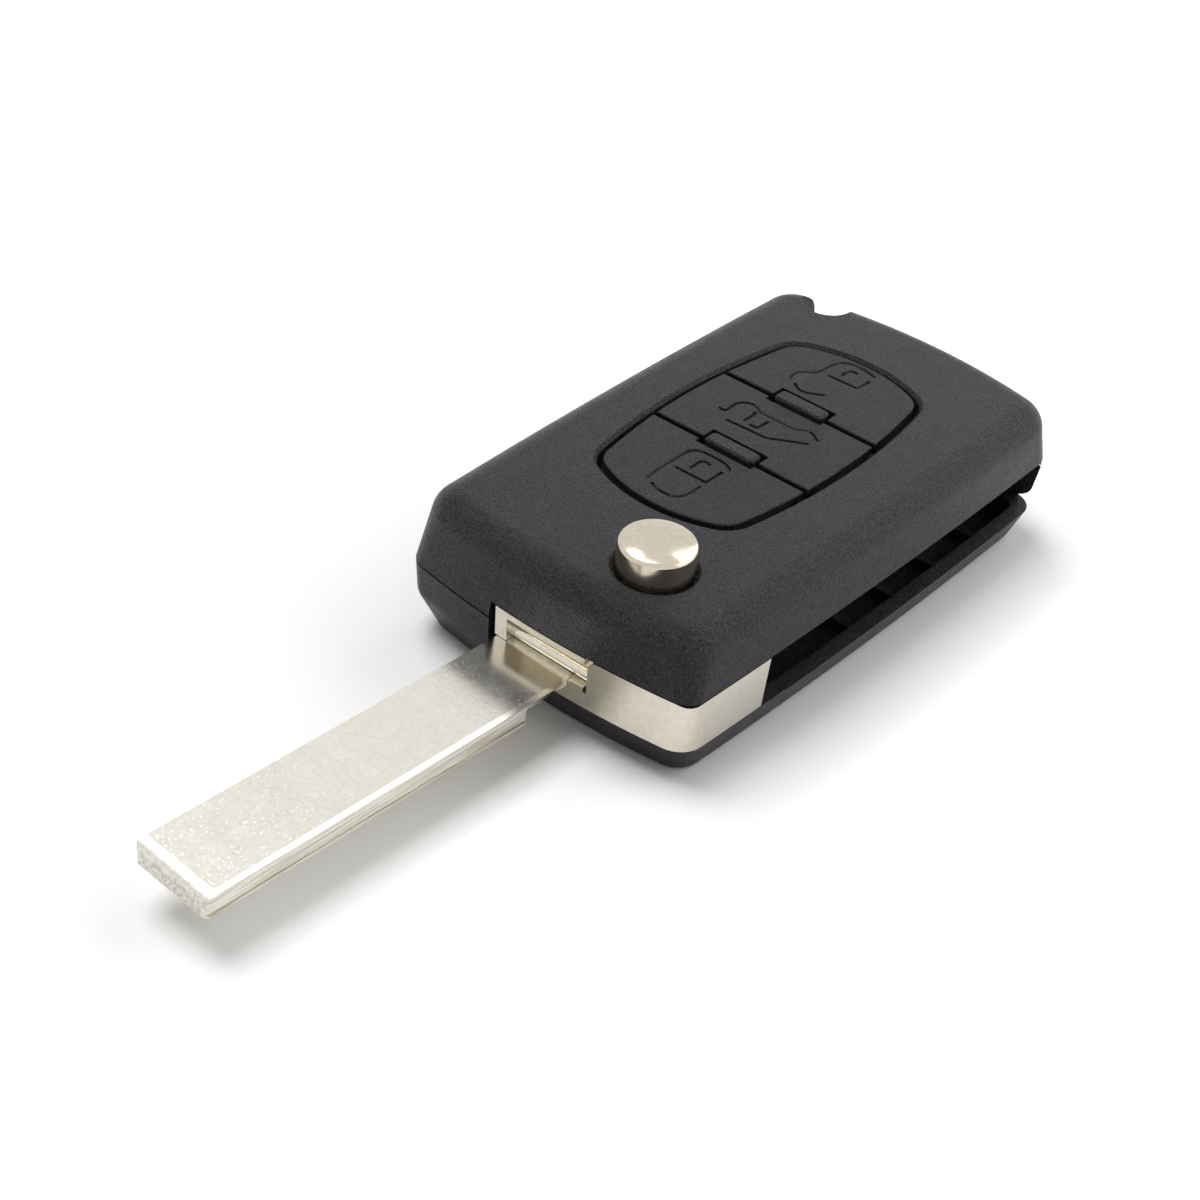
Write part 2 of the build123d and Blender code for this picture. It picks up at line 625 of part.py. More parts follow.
# Hub: a block flush with the case front and side, on a barrel with two journals
with BuildPart() as flip_hub:
    hub_foot = case_outline(hub_bottom, 0, front_left_radius, front_right_foot_radius, back_radius)
    hub_head = case_outline(hub_top, 0, front_left_radius, front_right_radius, back_radius)
    loft(sections=[hub_foot, hub_head], ruled=True)
    with BuildSketch(Plane((pivot_x, pivot_y, hub_bottom))) as hub_plan:
        reach = body_width / 2
        with BuildLine():
            Polyline(
                (-hub_left, -reach),
                (reach, -reach),
                (reach, hub_right_back),
                (0, hub_right_back),
                (0, hub_left_back),
                (-hub_left, hub_left_back),
                close=True,
            )
        make_face()
        outer_corner = hub_plan.vertices().filter_by(lambda v: v.X < -1 and v.Y > 0)
        fillet(outer_corner, radius=hub_back_radius)
        Circle(barrel_radius)
    extrude(amount=hub_height, mode=Mode.INTERSECT)
    extrude(disc(pivot_x, pivot_y, hub_bottom - journal_height, journal_radius),
            amount=hub_height + journal_height + journal_height)
    extrude(disc(pivot_x, pivot_y, 0, bore_radius), amount=body_height, mode=Mode.SUBTRACT)
    # Keyways for the collar's splines
    keyway_bottom = collar_bottom - button_travel - collar_gap
    with BuildSketch(Plane((pivot_x, pivot_y, keyway_bottom))):
        with PolarLocations(0, keyway_count, start_angle=45):
            Rectangle(2 * keyway_radius, keyway_width)
        Circle(keyway_radius, mode=Mode.INTERSECT)
    extrude(amount=body_height, mode=Mode.SUBTRACT)
    # Pocket over the blade root, with the round bar along its foot
    pocket_front = pivot_y - 2 * pivot_inset_front
    pocket_back = pivot_y - pivot_inset_front + pocket_depth
    pocket_start = pivot_x - pocket_left
    pocket_stop = pivot_x - pocket_right
    pocket = block(pocket_start, pocket_stop, pocket_front, pocket_back, blade_top_height)
    extrude(pocket, amount=hub_top - pocket_roof - blade_top_height, mode=Mode.SUBTRACT)
    bar_height = blade_top_height + pocket_bar_radius
    with Locations(Location(((pocket_start + pocket_stop) / 2, pocket_back, bar_height), (0, 90, 0))):
        Cylinder(pocket_bar_radius, pocket_stop - pocket_start)
    # Slit beside the pocket, with a notch at its foot and a round corner at its head
    slit_bottom = parting_height - slit_foot
    slit = block(pocket_stop, pocket_stop + slit_width, pocket_front, pocket_back, slit_bottom)
    extrude(slit, amount=hub_height, mode=Mode.SUBTRACT)
    notch_right = pocket_stop + slit_width / 2
    notch = block(notch_right - slit_notch_length, notch_right, pocket_front,
                  pivot_y - pivot_inset_front + slit_notch_depth, slit_bottom - 2 * slit_notch_height)
    extrude(notch, amount=slit_notch_height, mode=Mode.SUBTRACT)
    corner_x = pocket_stop + slit_width + slit_corner_radius
    corner_plane = Plane((corner_x, pocket_back, hub_top - slit_corner_radius), x_dir=(1, 0, 0),
                         z_dir=(0, -1, 0))
    with BuildSketch(corner_plane):
        with Locations((-slit_corner_radius / 2, slit_corner_radius / 2)):
            Rectangle(slit_corner_radius, slit_corner_radius)
        Circle(slit_corner_radius, mode=Mode.SUBTRACT)
    extrude(amount=pocket_depth + pivot_inset_front, mode=Mode.SUBTRACT)
    # Slot for the blade's root and tang, open to the front, and to the left for the plate
    blade_right = blade_width - blade_left
    slot_back = tang_neck_end - tang_gap
    with BuildSketch(blade_plane.offset(tang_gap)):
        with Locations((blade_right + tang_gap - blade_width, -(slot_back + blade_step) / 2)):
            Rectangle(2 * blade_width, blade_step - slot_back)
    extrude(amount=-(blade_plate + 2 * tang_gap), mode=Mode.SUBTRACT)
    with BuildSketch(blade_plane.offset(tang_gap)):
        with Locations((blade_width / 2 - blade_left, -(slot_back + blade_step) / 2)):
            Rectangle(blade_width - 2 * root_inset + 2 * tang_gap, blade_step - slot_back)
        with Locations(((ear_right - ear_left) / 2, (ear_end - tang_neck_end) / 2)):
            Rectangle(ear_left + ear_right + 2 * tang_gap, ear_end + tang_neck_end + 2 * tang_gap)
    extrude(amount=-(tang_thickness + 2 * tang_gap), mode=Mode.SUBTRACT)
    with BuildSketch(blade_plane.offset(-tang_thickness - pin_below - tang_gap)):
        Circle(pin_radius + pin_gap)
    extrude(amount=2 * hub_height, mode=Mode.SUBTRACT)
flip_hub.part.label = "flip_hub"
export_step(flip_hub.part, "parts/flip_hub.step")

# Blade: a bevelled bar with a thin shoulder and a tang that the pin holds
with BuildPart() as key_blade:
    thick_length = blade_length - blade_step
    blade_middle = blade_width / 2 - blade_left
    with BuildSketch(blade_plane):
        with Locations((blade_middle, -(blade_length + tang_neck_end) / 2)):
            Rectangle(blade_width, blade_length - tang_neck_end)
    extrude(amount=-blade_plate)
    with BuildSketch(blade_plane):
        with Locations((blade_middle, -(blade_length + blade_step) / 2)):
            Rectangle(blade_width, thick_length)
    extrude(amount=-blade_thickness)
    blade_normal = Axis((0, 0, 0), blade_plane.z_dir)
    top_face = key_blade.faces().filter_by(blade_normal).sort_by(Axis.Z)[-1]
    side_edges = top_face.edges().filter_by(lambda e: e.length > thick_length)
    chamfer(side_edges, length=blade_bevel)
    # A narrow bevel across the tip, and a rounded end below it
    tip_plane = Plane(blade_plane.from_local_coords(Vector(-blade_width, -blade_length, 0)),
                      x_dir=blade_plane.y_dir, z_dir=blade_plane.x_dir)
    with BuildSketch(tip_plane):
        with BuildLine():
            bevel_start = (tip_roll + tip_bevel_length, 0)
            roll_start = (tip_roll, -tip_bevel_drop)
            roll_end = (0, -tip_bevel_drop - tip_roll)
            Line(bevel_start, roll_start)
            RadiusArc(roll_start, roll_end, -tip_roll)
            Polyline(roll_end, (-1, -tip_bevel_drop - tip_roll), (-1, 1), (tip_roll + tip_bevel_length, 1),
                     bevel_start)
        make_face()
    extrude(amount=2 * blade_width, mode=Mode.SUBTRACT)
    with BuildSketch(blade_plane) as rounded_plan:
        with Locations((blade_middle, 0)):
            Rectangle(blade_width, 2 * blade_length)
        fillet(rounded_plan.vertices().sort_by(Axis.Y)[:2], radius=tip_radius)
    extrude(amount=-blade_thickness, mode=Mode.INTERSECT)
    # Root between the thick part and the hub, then the tang
    with BuildSketch(blade_plane) as root:
        with Locations((blade_middle, -(tang_neck_end + blade_step) / 2)):
            Rectangle(blade_width - 2 * root_inset, blade_step - tang_neck_end)
        with Locations(((ear_right - ear_left) / 2, (ear_end - tang_neck_end) / 2)):
            Rectangle(ear_left + ear_right, ear_end + tang_neck_end)
    extrude(amount=-tang_thickness)
    with BuildSketch(blade_plane):
        Circle(pin_radius + pin_gap)
    extrude(amount=-blade_thickness, mode=Mode.SUBTRACT)
    # Groove along both edges
    with BuildSketch(blade_plane.offset(-side_groove_top)):
        for edge_x in (-blade_left, blade_right):
            with Locations((edge_x, -(blade_length + blade_step) / 2)):
                Rectangle(2 * side_groove_depth, 2 * thick_length)
    extrude(amount=-side_groove_height, mode=Mode.SUBTRACT)
key_blade.part.label = "key_blade"
export_step(key_blade.part, "parts/key_blade.step")

with BuildPart() as blade_pin:
    with BuildSketch(blade_plane.offset(-tang_thickness - pin_below)):
        Circle(pin_radius)
    extrude(amount=pin_below + tang_thickness + pin_above)
blade_pin.part.label = "blade_pin"
export_step(blade_pin.part, "parts/blade_pin.step")

# Release button: a cap with a shallow dome, a flange that stops it under the roof, and a stem
with BuildPart() as release_button:
    cap_height = button_top + button_dome - button_flange_top
    extrude(disc(pivot_x, pivot_y, button_flange_top, button_radius), amount=cap_height)
    crown_ball = (button_radius**2 + button_dome**2) / (2 * button_dome)
    with Locations((pivot_x, pivot_y, button_top + button_dome - crown_ball)):
        Sphere(crown_ball, mode=Mode.INTERSECT)
    rim = release_button.edges().filter_by(lambda e: abs(e.center().Z - button_top) < 0.01)
    fillet(rim, radius=button_edge)
    extrude(disc(pivot_x, pivot_y, button_flange_bottom, button_flange_radius), amount=button_flange)
    extrude(disc(pivot_x, pivot_y, collar_top, shoulder_radius), amount=button_flange_bottom - collar_top)
    extrude(disc(pivot_x, pivot_y, collar_bottom, stem_radius), amount=collar_top - collar_bottom)
release_button.part.label = "release_button"
export_step(release_button.part, "parts/release_button.step")

with BuildPart() as lock_collar:
    with BuildSketch(Plane((pivot_x, pivot_y, collar_bottom))):
        with PolarLocations(0, keyway_count, start_angle=45):
            Rectangle(2 * (keyway_radius - collar_gap), keyway_width - 2 * collar_gap)
        Circle(keyway_radius - collar_gap, mode=Mode.INTERSECT)
        Circle(bore_radius - collar_gap)
        Circle(stem_radius + stem_gap, mode=Mode.SUBTRACT)
    extrude(amount=collar_top - collar_bottom)
lock_collar.part.label = "lock_collar"
export_step(lock_collar.part, "parts/lock_collar.step")

# Spring under the collar, wound between the well's floor and the collar in short straight steps
with BuildPart() as flip_spring:
    spring_rise = collar_bottom - floor - spring_wire - 2 * spring_end
    spring_start = floor + spring_end + spring_wire / 2
    spring_steps = round(spring_turns * spring_steps_per_turn)
    coil_points = []
    for step in range(spring_steps + 1):
        angle = 2 * pi * spring_turns * step / spring_steps
        point_x = pivot_x + spring_radius * cos(angle)
        point_y = pivot_y + spring_radius * sin(angle)
        coil_points.append(Vector(point_x, point_y, spring_start + spring_rise * step / spring_steps))
    with BuildLine() as coil:
        Polyline(*coil_points)
    with BuildSketch(Plane(coil_points[0], z_dir=coil_points[1] - coil_points[0])):
        RegularPolygon(spring_wire / 2, 8)
    sweep(path=coil.line, transition=Transition.RIGHT)
flip_spring.part.label = "flip_spring"
export_step(flip_spring.part, "parts/flip_spring.step")


# Keys: a plate in the keypad's outline, a core and a flange that the roof holds in
def make_key(name, low, high):
    middle = key_middle(low, high)
    low_plate = None if low is None else low + groove / 2
    high_plate = None if high is None else high - groove / 2
    low_core = None if low is None else low + web_half_width + web_gap
    high_core = None if high is None else high - web_half_width - web_gap
    with BuildPart() as key:
        extrude(pad_outline(plate_bottom, -groove / 2, low_plate, high_plate), amount=key_plate)
        fillet(key.edges().group_by(Axis.Z)[-1], radius=key_edge_radius)
        extrude(pad_outline(flange_bottom, -groove / 2, low_core, high_core),
                amount=plate_bottom - flange_bottom)
        extrude(pad_outline(flange_bottom, groove / 2 + key_flange, low_core, high_core),
                amount=key_flange_height)
        for divider in (low, high):
            if divider is not None:
                notch_reach = bar_length / 2 + bar_gap_side
                notch_front = divider + bar_offset - bar_width / 2 - bar_gap_front
                notch_back = divider + bar_offset + bar_width / 2 + bar_gap_back
                notch = block(pad_x - notch_reach, pad_x + notch_reach, notch_front, notch_back, flange_bottom)
                extrude(notch, amount=body_height, mode=Mode.SUBTRACT)
        with BuildSketch(Plane((pad_x, middle, flange_bottom))) as room:
            Rectangle(switch_length + 2 * switch_room, switch_width + 2 * switch_room)
            Circle(plunger_radius, mode=Mode.SUBTRACT)
        extrude(room.sketch, amount=board_top + switch_height + key_travel + switch_room - flange_bottom,
                mode=Mode.SUBTRACT)
        extrude(disc(pad_x, middle, flange_bottom, 1.1 * plunger_radius),
                amount=plunger_top - flange_bottom, mode=Mode.SUBTRACT)
    key.part.label = f"{name}_key"
    export_step(key.part, f"parts/{name}_key.step")


def make_switch(name, middle):
    with BuildPart() as switch:
        with BuildSketch(Plane((pad_x, middle, board_top))) as body:
            RectangleRounded(switch_length, switch_width, switch_corner)
        extrude(body.sketch, amount=switch_height)
        well = disc(pad_x, middle, plunger_top - plunger_length - key_travel - plunger_gap,
                    plunger_radius + plunger_gap)
        extrude(well, amount=switch_height, mode=Mode.SUBTRACT)
    switch.part.label = f"{name}_switch"
    export_step(switch.part, f"parts/{name}_switch.step")


def make_plunger(name, middle):
    with BuildPart() as plunger:
        extrude(disc(pad_x, middle, plunger_top - plunger_length, plunger_radius), amount=plunger_length)
    plunger.part.label = f"{name}_plunger"
    export_step(plunger.part, f"parts/{name}_plunger.step")


for row_name, row_low, row_high in key_rows:
    make_key(row_name, row_low, row_high)
    make_switch(row_name, key_middle(row_low, row_high))
    make_plunger(row_name, key_middle(row_low, row_high))

with BuildPart() as keypad_mat:
    extrude(pad_outline(board_top, groove / 2), amount=mat_thickness)
    for row_name, row_low, row_high in key_rows:
        with BuildSketch(Plane((pad_x, key_middle(row_low, row_high), board_top))) as hole:
            Rectangle(switch_length + switch_room, switch_width + switch_room)
        extrude(hole.sketch, amount=mat_thickness, mode=Mode.SUBTRACT)
keypad_mat.part.label = "keypad_mat"
export_step(keypad_mat.part, "parts/keypad_mat.step")

with BuildPart() as circuit_board:
    with BuildSketch(Plane.XY.offset(board_bottom)) as board_face:
        with BuildLine():
            Polyline(
                (board_left, board_front),
                (board_right, board_front),
                (board_right, board_back),
                (board_left + board_chamfer, board_back),
                (board_left, board_back - board_chamfer),
                close=True,
            )
        make_face()
        fillet(board_face.vertices(), radius=board_corner_radius)
    extrude(amount=board_thickness)
circuit_board.part.label = "circuit_board"
export_step(circuit_board.part, "parts/circuit_board.step")

# Battery cell: a can with a stepped lid on its upper side
with BuildPart() as battery:
    extrude(disc(battery_x, battery_y, battery_bottom, battery_radius),
            amount=battery_thickness - battery_step)
    chamfer(battery.edges().group_by(Axis.Z)[0], length=battery_step)
    chamfer(battery.edges().group_by(Axis.Z)[-1], length=battery_step)
    extrude(disc(battery_x, battery_y, battery_top - battery_step, battery_lid_radius), amount=battery_step)
battery.part.label = "battery"
export_step(battery.part, "parts/battery.step")

# Plus clip: a strap under the cell with a foot on the board at each end
with BuildPart() as battery_clip_plus:
    inner = battery_radius + clip_clearance
    outer = inner + clip_metal
    with BuildSketch(Plane((battery_x, battery_y + clip_width / 2, 0), x_dir=(1, 0, 0), z_dir=(0, -1, 0))):
        with BuildLine():
            Polyline(
                (-outer - clip_foot, board_bottom),
                (-inner, board_bottom),
                (-inner, battery_bottom),
                (inner, battery_bottom),
                (inner, board_bottom),
                (outer + clip_foot, board_bottom),
                (outer + clip_foot, board_bottom - clip_metal),
                (outer, board_bottom - clip_metal),
                (outer, battery_bottom - clip_metal),
                (-outer, battery_bottom - clip_metal),
                (-outer, board_bottom - clip_metal),
                (-outer - clip_foot, board_bottom - clip_metal),
                close=True,
            )
        make_face()
    extrude(amount=clip_width)
battery_clip_plus.part.label = "battery_clip_plus"
export_step(battery_clip_plus.part, "parts/battery_clip_plus.step")

# Minus clip: a small plate on the board with a pressed contact
with BuildPart() as battery_clip_minus:
    with BuildSketch(Plane((battery_x, battery_y, board_bottom))) as plate:
        RectangleRounded(contact_plate_length, clip_width, contact_plate_corner)
    extrude(plate.sketch, amount=-clip_metal)
    with BuildSketch(Plane((battery_x, battery_y, board_bottom - clip_metal))) as contact:
        Circle(contact_radius)
    extrude(contact.sketch, amount=-(battery_drop - clip_metal), taper=contact_taper)
battery_clip_minus.part.label = "battery_clip_minus"
export_step(battery_clip_minus.part, "parts/battery_clip_minus.step")

with BuildPart() as controller_chip:
    with BuildSketch(Plane((chip_x, chip_y, board_bottom))) as chip_face:
        Rectangle(chip_size, chip_size)
    extrude(chip_face.sketch, amount=-chip_height)
    chamfer(controller_chip.edges().group_by(Axis.Z)[0], length=chip_edge)
controller_chip.part.label = "controller_chip"
export_step(controller_chip.part, "parts/controller_chip.step")

with BuildPart() as crystal:
    with BuildSketch(Plane((crystal_x, crystal_y, board_bottom))) as can_face:
        SlotOverall(crystal_length, crystal_width)
    extrude(can_face.sketch, amount=-crystal_height)
    chamfer(crystal.edges().group_by(Axis.Z)[0], length=crystal_edge)
crystal.part.label = "crystal"
export_step(crystal.part, "parts/crystal.step")

# Antenna coil: a bobbin lying under the board, wound between its flanges
with BuildPart() as antenna_coil:
    coil_axis_height = board_bottom - coil_flange_radius
    coil_start = Plane((coil_left, coil_y, coil_axis_height), x_dir=(0, 1, 0), z_dir=(1, 0, 0))
    with BuildSketch(coil_start):
        Circle(coil_winding_radius)
    extrude(amount=coil_length)
    for flange_start in (0, coil_length - coil_flange):
        with BuildSketch(coil_start.offset(flange_start)) as flange_face:
            Circle(coil_flange_radius)
        extrude(flange_face.sketch, amount=coil_flange)
    with BuildSketch(coil_start) as core_bore:
        Circle(coil_core_radius)
    extrude(core_bore.sketch, amount=coil_length, mode=Mode.SUBTRACT)
antenna_coil.part.label = "antenna_coil"
export_step(antenna_coil.part, "parts/antenna_coil.step")

with BuildPart() as transponder:
    with BuildSketch(Plane((transponder_x, transponder_y, floor))) as wedge:
        Rectangle(transponder_width, transponder_length)
    extrude(wedge.sketch, amount=transponder_height)
    chamfer(transponder.edges().group_by(Axis.Z)[-1], length=transponder_edge)
transponder.part.label = "transponder"
export_step(transponder.part, "parts/transponder.step")

# Case screw, driven up from below
with BuildPart() as case_screw:
    head_bottom = screw_head_recess
    extrude(disc(screw_x, screw_y, head_bottom, screw_head_radius), amount=screw_head_height)
    chamfer(case_screw.edges().group_by(Axis.Z)[0], length=screw_head_edge)
    extrude(disc(screw_x, screw_y, head_bottom + screw_head_height, screw_radius),
            amount=screw_length - head_bottom - screw_head_height)
    for width, height in ((driver_length, driver_width), (driver_width, driver_length)):
        with BuildSketch(Plane((screw_x, screw_y, head_bottom))) as driver_slot:
            Rectangle(width, height)
        extrude(driver_slot.sketch, amount=driver_depth, mode=Mode.SUBTRACT)
case_screw.part.label = "case_screw"
export_step(case_screw.part, "parts/case_screw.step")
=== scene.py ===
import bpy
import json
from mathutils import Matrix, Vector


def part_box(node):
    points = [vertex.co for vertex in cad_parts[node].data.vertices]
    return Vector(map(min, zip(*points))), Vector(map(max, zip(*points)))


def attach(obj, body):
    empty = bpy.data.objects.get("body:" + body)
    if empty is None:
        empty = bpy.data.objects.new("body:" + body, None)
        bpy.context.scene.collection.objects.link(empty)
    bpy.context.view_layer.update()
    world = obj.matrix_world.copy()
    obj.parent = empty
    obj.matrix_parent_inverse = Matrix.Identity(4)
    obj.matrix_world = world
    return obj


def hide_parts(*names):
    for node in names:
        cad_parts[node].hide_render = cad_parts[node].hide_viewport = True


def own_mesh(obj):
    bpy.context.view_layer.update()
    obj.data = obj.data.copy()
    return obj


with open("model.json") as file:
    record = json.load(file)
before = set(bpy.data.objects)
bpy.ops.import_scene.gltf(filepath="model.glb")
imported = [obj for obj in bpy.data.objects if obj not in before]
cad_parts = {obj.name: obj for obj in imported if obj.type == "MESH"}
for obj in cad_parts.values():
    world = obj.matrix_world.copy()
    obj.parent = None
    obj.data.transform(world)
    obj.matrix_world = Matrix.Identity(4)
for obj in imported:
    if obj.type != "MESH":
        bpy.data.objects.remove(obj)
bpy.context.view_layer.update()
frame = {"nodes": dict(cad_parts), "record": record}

import json
import math

import bmesh
import bpy
import numpy as np
from mathutils import Matrix, Vector

scene = bpy.context.scene
nodes = frame["nodes"]
mm = 0.001


# Camera: in front of the case and to its right, looking down at the keys, rolled a little
cameraView = {
    "azimuth": 0.6493,
    "elevation": 0.6487,
    "roll": 0.1036,
    "target": (-4.095 * mm, -22.044 * mm, 6.0 * mm),
    "distance": 194.6 * mm,
    "lens": 61.125,
    "sensor": 36.0,
    "shiftX": 0.0243,
    "shiftY": -0.0043,
    "nearest": 0.005,
    "farthest": 20.0,
}


def makeCamera(view):
    turn, rise = view["azimuth"], view["elevation"]
    back = Vector((math.sin(turn) * math.cos(rise), -math.cos(turn) * math.cos(rise), math.sin(rise)))
    right = Vector((math.cos(turn), math.sin(turn), 0.0))
    up = back.cross(right)
    rolledRight = math.cos(view["roll"]) * right + math.sin(view["roll"]) * up
    rolledUp = math.cos(view["roll"]) * up - math.sin(view["roll"]) * right
    data = bpy.data.cameras.new("photoCamera")
    data.lens, data.sensor_width = view["lens"], view["sensor"]
    data.shift_x, data.shift_y = view["shiftX"], view["shiftY"]
    data.clip_start, data.clip_end = view["nearest"], view["farthest"]
    camera = bpy.data.objects.new("photoCamera", data)
    turned = Matrix((rolledRight, rolledUp, back)).transposed().to_4x4()
    camera.matrix_world = Matrix.Translation(Vector(view["target"]) + view["distance"] * back) @ turned
    scene.collection.objects.link(camera)
    scene.camera = camera


makeCamera(cameraView)
scene.view_settings.view_transform = "Standard"
print("camera placed")


# Light: soft boxes behind, above and to the right, and a small one that glints on the button.
# The room adds a dim light of its own, and is seen and reflected as white.
studio = {
    "lamps": {
        "backLamp": {"place": (0.45, 1.4, 1.0), "size": 1.7, "power": 12.0},
        "topLamp": {"place": (-0.75, -0.12, 1.95), "size": 1.2, "power": 22.5},
        "sideLamp": {"place": (1.6, 0.9, 0.75), "size": 1.8, "power": 8.0},
        "keyLamp": {"place": (-0.77, 0.42, 1.33), "size": 0.26, "power": 1.3},
    },
    "lampTarget": (0.0, -0.02, 0.01),
    "white": (1.0, 1.0, 1.0, 1.0),
    "roomStrength": 0.21,
    "seenStrength": 1.0,
    "floorReach": 0.32,
    "floorColour": (0.9, 0.9, 0.905, 1.0),
    "seenFloorColour": (1.22, 1.22, 1.225, 1.0),  # what the camera and reflections see
}


def areaLamp(name, lampValues, target):
    data = bpy.data.lights.new(name, "AREA")
    data.shape, data.size, data.energy = "SQUARE", lampValues["size"], lampValues["power"]
    lamp = bpy.data.objects.new(name, data)
    lamp.location = lampValues["place"]
    lamp.rotation_mode = "QUATERNION"
    lamp.rotation_quaternion = (Vector(lampValues["place"]) - Vector(target)).to_track_quat("Z", "Y")
    scene.collection.objects.link(lamp)


# 1 for the rays that show the background: the camera's, and those that metal or glass sends on
def seenRays(tree):
    path = tree.nodes.new("ShaderNodeLightPath")
    total = path.outputs["Is Camera Ray"]
    for other in ("Is Glossy Ray", "Is Transmission Ray"):
        greater = tree.nodes.new("ShaderNodeMath")
        greater.operation = "MAXIMUM"
        tree.links.new(total, greater.inputs[0])
        tree.links.new(path.outputs[other], greater.inputs[1])
        total = greater.outputs["Value"]
    return total


# The first shader lights the object, and the second is what the seen rays show
def mixBySeenRays(tree, lighting, shown, outputKind):
    mix = tree.nodes.new("ShaderNodeMixShader")
    tree.links.new(seenRays(tree), mix.inputs["Fac"])
    tree.links.new(lighting.outputs[0], mix.inputs[1])
    tree.links.new(shown.outputs[0], mix.inputs[2])
    tree.links.new(mix.outputs["Shader"], tree.nodes.new(outputKind).inputs["Surface"])


def makeRoom(values):
    world = bpy.data.worlds.new("dimRoom")
    scene.world = world
    world.use_nodes = True
    tree = world.node_tree
    tree.nodes.clear()
    layers = []
    for strength in (values["roomStrength"], values["seenStrength"]):
        background = tree.nodes.new("ShaderNodeBackground")
        background.inputs["Color"].default_value = values["white"]
        background.inputs["Strength"].default_value = strength
        layers.append(background)
    mixBySeenRays(tree, layers[0], layers[1], "ShaderNodeOutputWorld")


def makeFloor(values):
    reach = values["floorReach"]
    mesh = bpy.data.meshes.new("floor")
    corners = [(-reach, -reach, 0), (reach, -reach, 0), (reach, reach, 0), (-reach, reach, 0)]
    mesh.from_pydata(corners, [], [(0, 1, 2, 3)])
    floor = bpy.data.objects.new("floor", mesh)
    scene.collection.objects.link(floor)
    material = bpy.data.materials.new("paperFloor")
    material.use_nodes = True
    tree = material.node_tree
    tree.nodes.clear()
    layers = []
    for colour in (values["floorColour"], values["seenFloorColour"]):
        paper = tree.nodes.new("ShaderNodeBsdfDiffuse")
        paper.inputs["Color"].default_value = colour
        layers.append(paper)
    mixBySeenRays(tree, layers[0], layers[1], "ShaderNodeOutputMaterial")
    mesh.materials.append(material)


for lampName, lampValues in studio["lamps"].items():
    areaLamp(lampName, lampValues, studio["lampTarget"])
makeRoom(studio)
makeFloor(studio)
print("studio lit")


# Finishes: each is a Principled shader with its own noise layers on Object coordinates
noiseLow, noiseHigh = 0.3, 0.7  # the part of a noise's range that a tone or roughness is spread over


def newFinish(name, colour, roughness, metallic=0.0):
    material = bpy.data.materials.new(name)
    material.use_nodes = True
    shader = material.node_tree.nodes["Principled BSDF"]
    shader.inputs["Base Color"].default_value = (*colour, 1)
    shader.inputs["Roughness"].default_value = roughness
    shader.inputs["Metallic"].default_value = metallic
    return material


# A number is written on the socket, and another node's output is linked to it
def feed(material, socket, value):
    if isinstance(value, (int, float)):
        socket.default_value = value
    else:
        material.node_tree.links.new(value, socket)


def noiseLayer(material, scale, detail=2.0, roughness=0.5, stretch=(1.0, 1.0, 1.0)):
    tree = material.node_tree
    coordinates = tree.nodes.new("ShaderNodeTexCoord")
    mapping = tree.nodes.new("ShaderNodeMapping")
    mapping.inputs["Scale"].default_value = stretch
    noise = tree.nodes.new("ShaderNodeTexNoise")
    noise.inputs["Scale"].default_value = scale
    noise.inputs["Detail"].default_value = detail
    noise.inputs["Roughness"].default_value = roughness
    tree.links.new(coordinates.outputs["Object"], mapping.inputs["Vector"])
    tree.links.new(mapping.outputs["Vector"], noise.inputs["Vector"])
    return noise.outputs["Fac"]


# Bumps are chained: each starts from the normal of the one before, and the last one made is shown
def bumpFrom(material, height, strength, distance, after=None):
    tree = material.node_tree
    bump = tree.nodes.new("ShaderNodeBump")
    feed(material, bump.inputs["Strength"], strength)
    bump.inputs["Distance"].default_value = distance
    tree.links.new(height, bump.inputs["Height"])
    if after:
        tree.links.new(after.outputs["Normal"], bump.inputs["Normal"])
    tree.links.new(bump.outputs["Normal"], tree.nodes["Principled BSDF"].inputs["Normal"])
    return bump


def remap(material, value, fromLow, fromHigh, toLow=0.0, toHigh=1.0):
    node = material.node_tree.nodes.new("ShaderNodeMapRange")
    for socket, number in zip(("From Min", "From Max", "To Min", "To Max"), (fromLow, fromHigh, toLow, toHigh)):
        node.inputs[socket].default_value = number
    material.node_tree.links.new(value, node.inputs["Value"])
    return node.outputs["Result"]


def spread(material, noise, low, high, socket):
    tree = material.node_tree
    spreadNoise = remap(material, noise, noiseLow, noiseHigh, low, high)
    tree.links.new(spreadNoise, tree.nodes["Principled BSDF"].inputs[socket])


def tint(material, noise, dark, pale):
    tree = material.node_tree
    ramp = tree.nodes.new("ShaderNodeValToRGB")
    first, last = ramp.color_ramp.elements
    first.position, last.position = noiseLow, noiseHigh
    first.color, last.color = (*dark, 1), (*pale, 1)
    tree.links.new(noise, ramp.inputs["Fac"])
    tree.links.new(ramp.outputs["Color"], tree.nodes["Principled BSDF"].inputs["Base Color"])


def mathNode(material, operation, *values):
    node = material.node_tree.nodes.new("ShaderNodeMath")
    node.operation = operation
    for socket, value in zip(node.inputs, values):
        feed(material, socket, value)
    return node.outputs["Value"]


# Coordinates of a point or a direction, one output for each of X, Y and Z
def parts(material, vector):
    node = material.node_tree.nodes.new("ShaderNodeSeparateXYZ")
    material.node_tree.links.new(vector, node.inputs["Vector"])
    return node.outputs


def objectPlace(material):
    return material.node_tree.nodes.new("ShaderNodeTexCoord").outputs["Object"]


